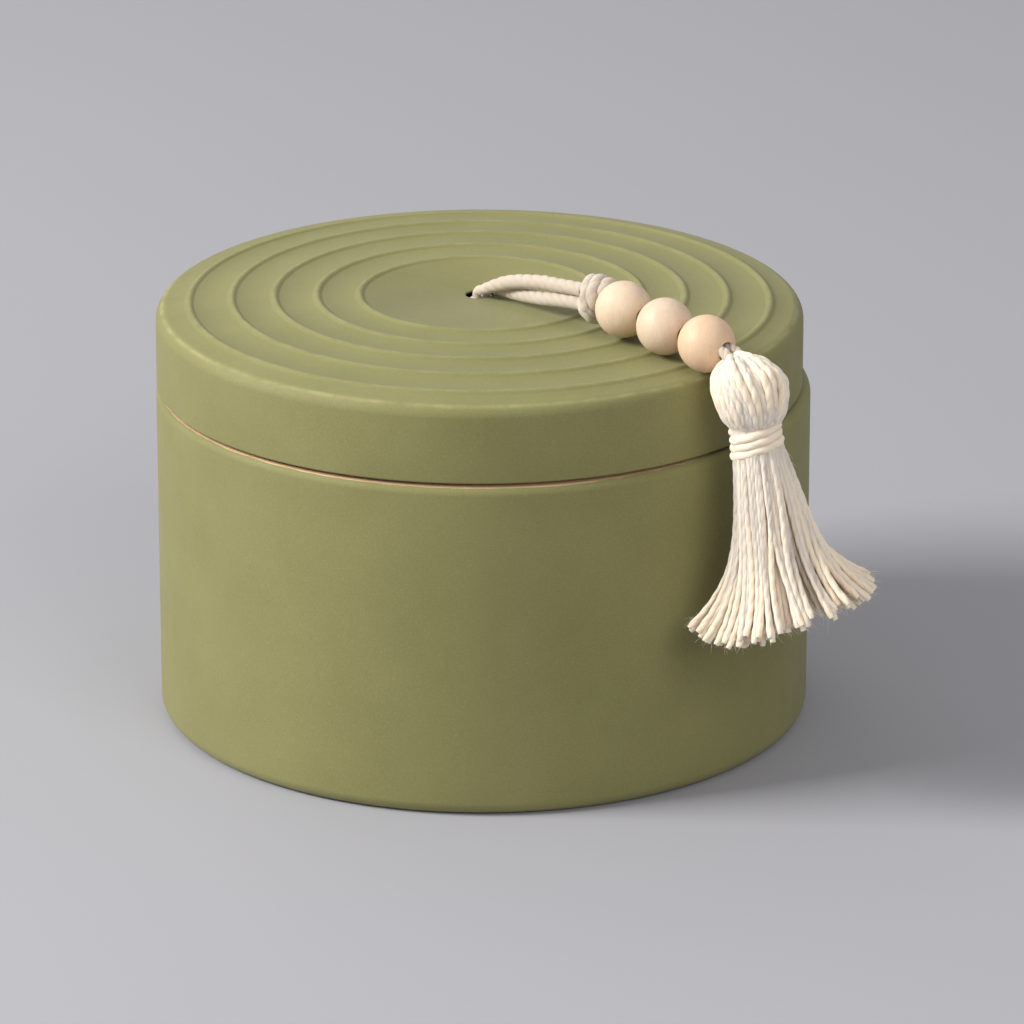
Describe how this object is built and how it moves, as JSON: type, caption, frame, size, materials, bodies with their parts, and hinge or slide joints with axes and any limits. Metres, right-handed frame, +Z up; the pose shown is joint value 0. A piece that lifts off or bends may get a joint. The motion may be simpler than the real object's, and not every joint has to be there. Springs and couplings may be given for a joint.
{
  "type": "candle tin",
  "caption": "Round drawn candle tin with a ringed slip lid, a wax fill with wicks, and a doubled cotton cord with wooden beads and a tassel on the lid.",
  "frame": {"origin": "centre of the foot ring, on the surface that the tin stands on", "axes": "+Z up along the can's axis; the tassel hangs towards +X and -Y, so -Y is the front"},
  "size_m": [0.1481, 0.1511, 0.1045],
  "materials": {
    "olive_paint": "matte soft-touch",
    "soy_wax": "satin",
    "wick_cotton": "braided, waxed",
    "tab_steel": "bright",
    "sticker_foam": "matte",
    "cord_cotton": "twisted cotton",
    "tassel_yarn": "twisted cotton yarn",
    "bead_wood_pale": "sanded, unvarnished",
    "bead_wood_peach": "sanded, unvarnished"
  },
  "bodies": {
    "tin": {"can_body": "olive_paint", "wax": "soy_wax", "wick_1": "wick_cotton", "wick_2": "wick_cotton", "wick_3": "wick_cotton", "wick_4": "wick_cotton", "wick_tab_1": "tab_steel", "wick_tab_2": "tab_steel", "wick_tab_3": "tab_steel", "wick_tab_4": "tab_steel", "wick_sticker_1": "sticker_foam", "wick_sticker_2": "sticker_foam", "wick_sticker_3": "sticker_foam", "wick_sticker_4": "sticker_foam"},
    "lid": {"lid_shell": "olive_paint"},
    "cord_anchor": {"stopper_knot": "cord_cotton", "cord_throat": "cord_cotton"},
    "string": {"strand_upper": "cord_cotton", "strand_lower": "cord_cotton", "upper_knot": "cord_cotton", "bead_core": "cord_cotton"},
    "bead_1": {"bead_1": "bead_wood_pale"},
    "bead_2": {"bead_2": "bead_wood_pale"},
    "bead_3": {"bead_3": "bead_wood_peach"},
    "tassel_eye": {"tassel_eye": "cord_cotton"},
    "tassel": {"tassel_head": "tassel_yarn", "tassel_binding": "tassel_yarn", "tassel_skirt": "tassel_yarn"}
  },
  "joints": [
    {"name": "lid_lift", "type": "slide", "parent": "tin", "child": "lid", "axis": [0, 0, 1], "range_m": [0, 0.08]},
    {"name": "cord_swivel", "type": "hinge", "parent": "lid", "child": "cord_anchor", "pos_m": [-0.0008, 0, 0.0918], "axis": [0, 0, 1], "continuous": true},
    {"name": "cord_lift", "type": "hinge", "parent": "cord_anchor", "child": "string", "pos_m": [-0.0008, 0, 0.0922], "axis": [-0.7193, -0.6947, 0], "range_deg": [0, 70], "deforming": ["strand_upper", "strand_lower"]},
    {"name": "bead_1_spin", "type": "hinge", "parent": "string", "child": "bead_1", "pos_m": [0.0293, -0.03117, 0.09846], "axis": [0.6927, -0.7173, -0.075], "continuous": true},
    {"name": "bead_2_spin", "type": "hinge", "parent": "string", "child": "bead_2", "pos_m": [0.03768, -0.03985, 0.09755], "axis": [0.6927, -0.7173, -0.075], "continuous": true},
    {"name": "bead_3_spin", "type": "hinge", "parent": "string", "child": "bead_3", "pos_m": [0.04607, -0.04853, 0.09664], "axis": [0.6927, -0.7173, -0.075], "continuous": true},
    {"name": "tassel_swing", "type": "hinge", "parent": "string", "child": "tassel_eye", "pos_m": [0.05057, -0.05319, 0.09616], "axis": [-0.7193, -0.6947, 0], "range_deg": [0, 75]},
    {"name": "tassel_sway", "type": "hinge", "parent": "tassel_eye", "child": "tassel", "pos_m": [0.05057, -0.05319, 0.09616], "axis": [0.6947, -0.7193, 0], "range_deg": [-20, 20]}
  ]
}
